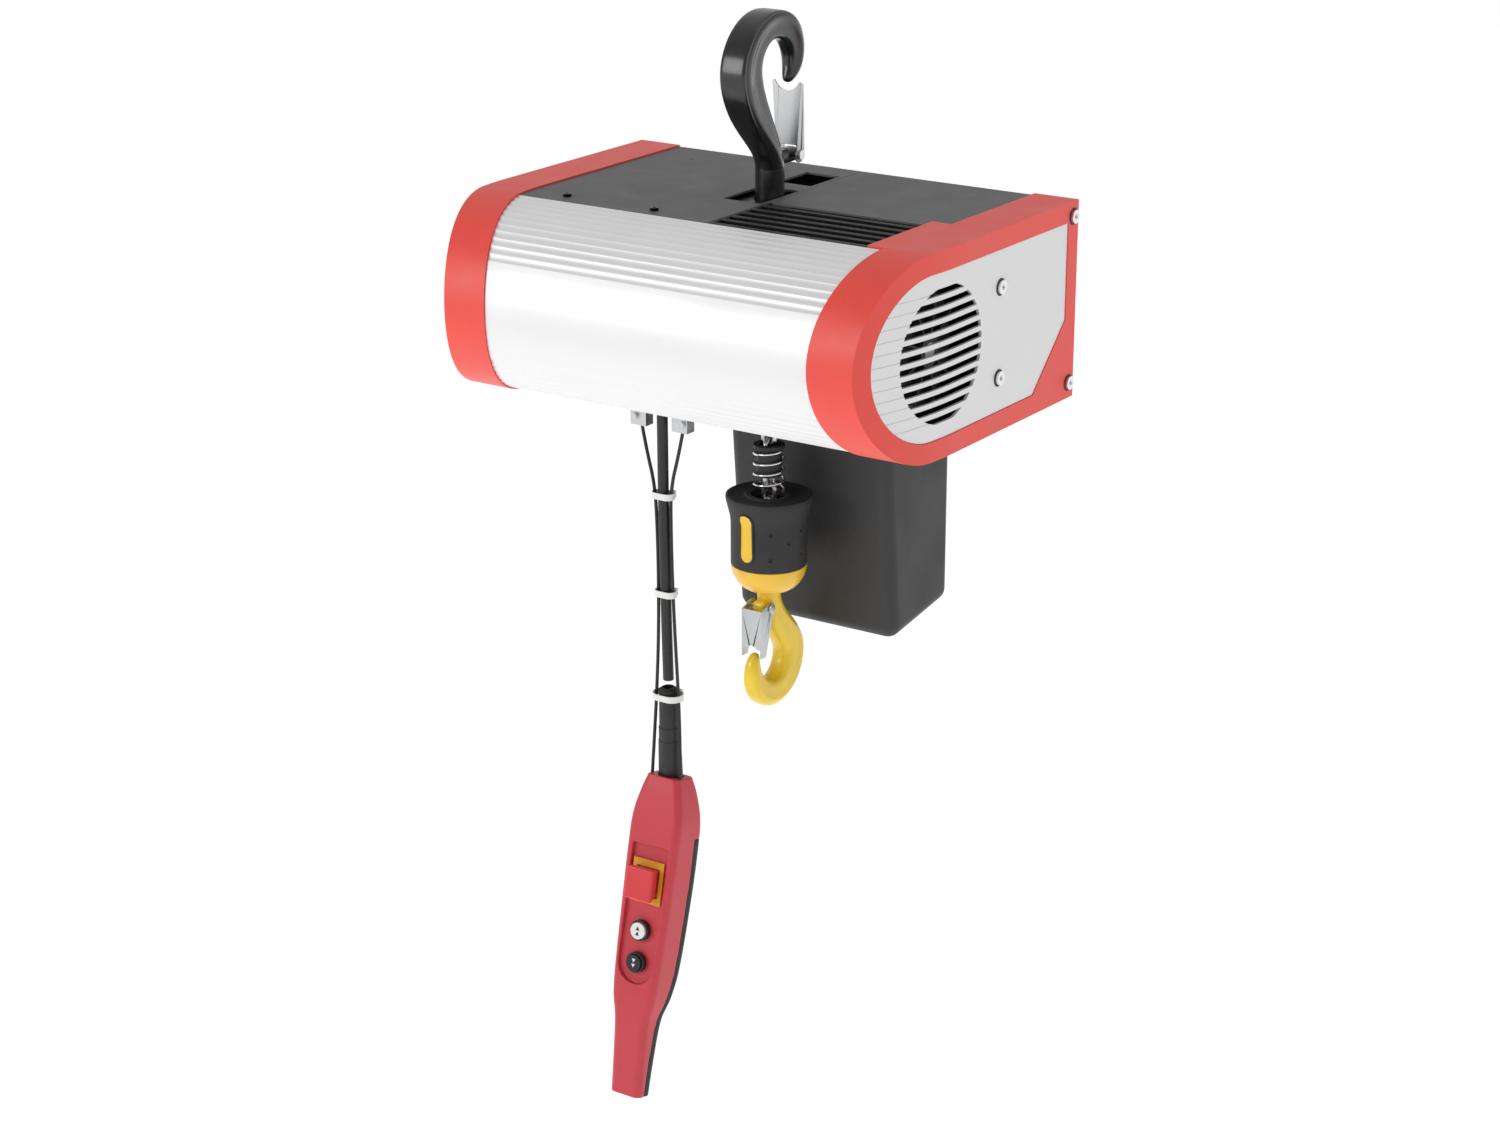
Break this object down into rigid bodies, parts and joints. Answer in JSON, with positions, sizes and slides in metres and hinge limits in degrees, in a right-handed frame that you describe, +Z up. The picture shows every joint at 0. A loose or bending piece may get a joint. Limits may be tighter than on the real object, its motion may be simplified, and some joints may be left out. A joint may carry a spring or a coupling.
{
  "type": "electric chain hoist",
  "caption": "Hook-suspended electric chain hoist: D-section housing with end caps, load chain with hook block and latch hook, chain bucket, and a control pendant hanging on its cable.",
  "frame": {"origin": "saddle of the suspension hook, the point that hangs on a pin, beam clamp or trolley", "axes": "+Z up along the load line, +X along the body towards the motor end, -Y towards the fluted half-round front"},
  "size_m": [0.506, 0.3935, 1.084],
  "materials": {
    "cap_red": "satin moulded red",
    "panel_silver": "satin, bead blasted",
    "housing_silver": "satin anodised extrusion",
    "cover_grey": "dark grey powder coat",
    "louvre_black": "matte black",
    "bright_steel": "bright zinc",
    "cast_aluminium": "as cast",
    "bearing_steel": "ground",
    "gear_steel": "oiled machined steel",
    "laminated_steel": "laminated",
    "black_steel": "black phosphate",
    "friction": "brake lining",
    "black_plastic": "moulded black",
    "chain_zinc": "zinc plated",
    "board_green": "circuit board",
    "bucket_plastic": "textured moulded plastic",
    "forged_black": "glossy black over forging",
    "dark_sheet": "dark grey sheet",
    "forged_yellow": "satin yellow over forging",
    "zinc_sheet": "zinc plated sheet",
    "block_rubber": "matte black rubber",
    "label_yellow": "printed label",
    "spring_steel": "bright wire",
    "pendant_red": "satin moulded red",
    "pendant_black": "soft moulded black",
    "stop_red": "satin moulded red",
    "stop_yellow": "satin moulded yellow",
    "button_white": "satin white",
    "button_black": "satin black",
    "cable_black": "cable sheath",
    "boot_rubber": "soft rubber",
    "tie_white": "nylon",
    "zinc_cast": "zinc casting"
  },
  "bodies": {
    "hoist_body": {"right_end_cap": "cap_red", "left_end_cap": "cap_red", "right_end_panel": "panel_silver", "left_end_panel": "panel_silver", "front_housing": "housing_silver", "top_cover_left": "cover_grey", "top_cover_right": "cover_grey", "louvre_block": "louvre_black", "rear_tray": "cover_grey", "cover_screws": "bright_steel", "main_frame": "cast_aluminium", "gear_lid": "cast_aluminium", "bearings": "bearing_steel", "stator": "laminated_steel", "motor_end_shield": "cast_aluminium", "brake_magnet": "black_steel", "brake_plate": "gear_steel", "slack_chain": "chain_zinc", "chain_guide": "black_plastic", "limit_switch": "black_plastic", "control_board": "board_green", "cable_glands": "black_plastic", "chain_bucket": "bucket_plastic", "suspension_hook": "forged_black", "suspension_pins": "bright_steel"},
    "motor_rotor": {"motor_shaft": "gear_steel", "rotor": "laminated_steel", "brake_disc": "friction", "cooling_fan": "black_plastic"},
    "intermediate_shaft": {"lay_shaft": "gear_steel", "first_gear": "gear_steel"},
    "output_shaft": {"chain_wheel": "gear_steel", "output_gear": "gear_steel"},
    "brake_armature": {"brake_armature": "gear_steel"},
    "hook_block": {"load_chain": "chain_zinc", "block_cover": "block_rubber", "block_cup": "forged_yellow", "rating_label": "label_yellow", "rubber_buffer": "block_rubber", "buffer_spring": "spring_steel", "thrust_bearing": "bearing_steel"},
    "load_hook": {"load_hook": "forged_yellow", "load_latch_pin": "bright_steel", "hook_nut": "gear_steel"},
    "load_latch": {"load_latch": "zinc_sheet"},
    "suspension_latch": {"suspension_latch": "dark_sheet"},
    "pendant": {"pendant_front_shell": "pendant_red", "pendant_rear_shell": "pendant_black", "stop_frame": "stop_yellow", "button_collars": "pendant_black", "contact_block": "black_plastic", "control_cable": "cable_black", "strain_wire_left": "cable_black", "strain_wire_right": "cable_black", "pendant_boot": "boot_rubber", "cable_ties": "tie_white", "wire_clamps": "zinc_cast"},
    "stop_button": {"stop_button": "stop_red"},
    "up_button": {"up_button": "button_white"},
    "down_button": {"down_button": "button_black"}
  },
  "joints": [
    {"name": "lift", "type": "slide", "parent": "hoist_body", "child": "hook_block", "axis": [0, 0, 1], "range_m": [-0.09, 0.045], "deforming": ["load_chain"]},
    {"name": "chain_wheel_spin", "type": "hinge", "parent": "hoist_body", "child": "output_shaft", "pos_m": [0, 0.0259, -0.24], "axis": [1, 0, 0], "range_deg": [-113, 221]},
    {"name": "intermediate_spin", "type": "hinge", "parent": "hoist_body", "child": "intermediate_shaft", "pos_m": [0.05, -0.04225, -0.24], "axis": [1, 0, 0], "range_deg": [-1013, 509]},
    {"name": "motor_spin", "type": "hinge", "parent": "hoist_body", "child": "motor_rotor", "pos_m": [0.1, -0.1039, -0.24], "axis": [1, 0, 0], "range_deg": [-2945, 5885]},
    {"name": "brake_release", "type": "slide", "parent": "hoist_body", "child": "brake_armature", "axis": [-1, 0, 0], "range_m": [0, 0.0005], "stiffness_N_per_m": 20000, "springref_m": -0.001},
    {"name": "load_hook_swivel", "type": "hinge", "parent": "hook_block", "child": "load_hook", "pos_m": [0, 0, -0.53], "axis": [0, 0, 1], "continuous": true},
    {"name": "load_latch_hinge", "type": "hinge", "parent": "load_hook", "child": "load_latch", "pos_m": [0, -0.014, -0.555], "axis": [1, 0, 0], "range_deg": [0, 35], "stiffness_Nm_per_rad": 0.02, "springref_deg": -22.92},
    {"name": "suspension_latch_hinge", "type": "hinge", "parent": "hoist_body", "child": "suspension_latch", "pos_m": [0, 0.035, -0.114], "axis": [1, 0, 0], "range_deg": [0, 20], "stiffness_Nm_per_rad": 0.03, "springref_deg": -28.65},
    {"name": "pendant_swing", "type": "hinge", "parent": "hoist_body", "child": "pendant", "pos_m": [-0.071, -0.078, -0.345], "axis": [1, 0, 0], "range_deg": [-20, 20]},
    {"name": "stop_button_press", "type": "slide", "parent": "pendant", "child": "stop_button", "axis": [0, 0.9781, -0.2079], "range_m": [0, 0.004], "stiffness_N_per_m": 900, "springref_m": -0.003},
    {"name": "up_button_press", "type": "slide", "parent": "pendant", "child": "up_button", "axis": [0, 0.9781, -0.2079], "range_m": [0, 0.003], "stiffness_N_per_m": 900, "springref_m": -0.003},
    {"name": "down_button_press", "type": "slide", "parent": "pendant", "child": "down_button", "axis": [0, 0.9781, -0.2079], "range_m": [0, 0.003], "stiffness_N_per_m": 900, "springref_m": -0.003}
  ],
  "couplings": [
    {"joint": "chain_wheel_spin", "follows": "lift", "rad_per_m": -41.888},
    {"joint": "intermediate_spin", "follows": "lift", "rad_per_m": 195.48},
    {"joint": "motor_spin", "follows": "lift", "rad_per_m": -1140.3}
  ]
}
